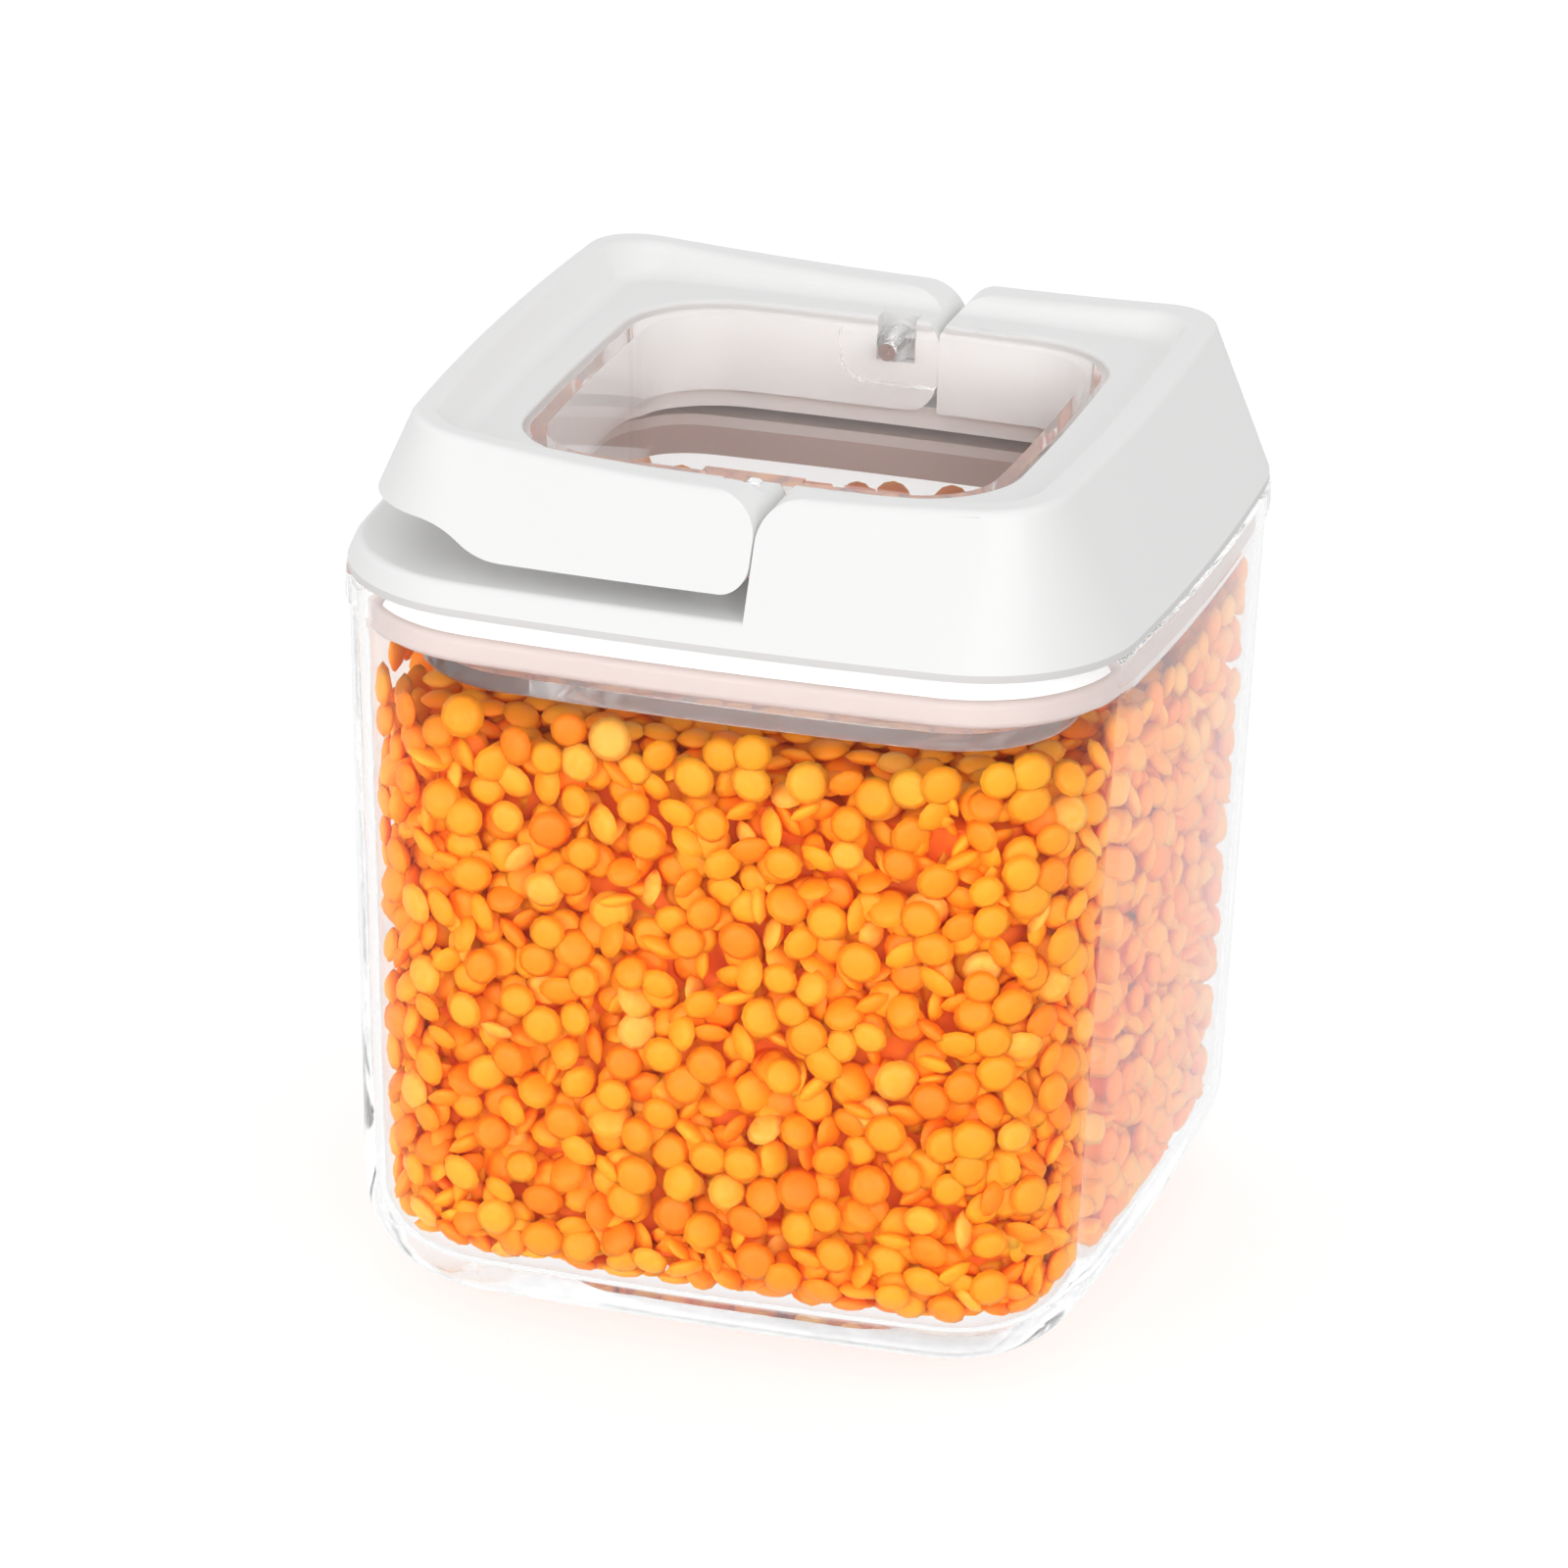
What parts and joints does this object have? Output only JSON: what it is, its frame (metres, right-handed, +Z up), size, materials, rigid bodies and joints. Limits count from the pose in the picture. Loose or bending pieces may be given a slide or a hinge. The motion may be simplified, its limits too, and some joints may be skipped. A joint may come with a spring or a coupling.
{
  "type": "dry food container",
  "caption": "Square clear canister with rounded corners and a white lid whose hinged half is a flip lever that draws a clear tray against a soft seal.",
  "frame": {"origin": "middle of the base, on the surface the container stands on", "axes": "+Z up through the lid; +X towards the fixed half of the lid, away from the lever's lifting edge; +Y towards the back"},
  "size_m": [0.105, 0.105, 0.1187],
  "materials": {
    "clear_plastic": "clear, polished",
    "white_plastic": "satin",
    "seal_silicone": "matt",
    "pin_steel": "bright"
  },
  "bodies": {
    "container": {"container_body": "clear_plastic"},
    "lid": {"lid_cover": "white_plastic", "seal_carrier": "white_plastic", "seal_gasket": "seal_silicone"},
    "tray": {"inner_tray": "clear_plastic", "hinge_pin_front": "pin_steel", "hinge_pin_rear": "pin_steel"},
    "lever": {"flip_lever": "white_plastic"}
  },
  "joints": [
    {"name": "lid_lift", "type": "slide", "parent": "container", "child": "lid", "axis": [0, 0, 1], "range_m": [0, 0.05]},
    {"name": "tray_drop", "type": "slide", "parent": "lid", "child": "tray", "axis": [0, 0, -1], "range_m": [0, 0.00151]},
    {"name": "lever_flip", "type": "hinge", "parent": "tray", "child": "lever", "pos_m": [0.0006, 0, 0.11035], "axis": [0, 1, 0], "range_deg": [0, 90]}
  ],
  "couplings": [
    {"joint": "tray_drop", "follows": "lever_flip", "m_per_rad": 0.00095493}
  ]
}
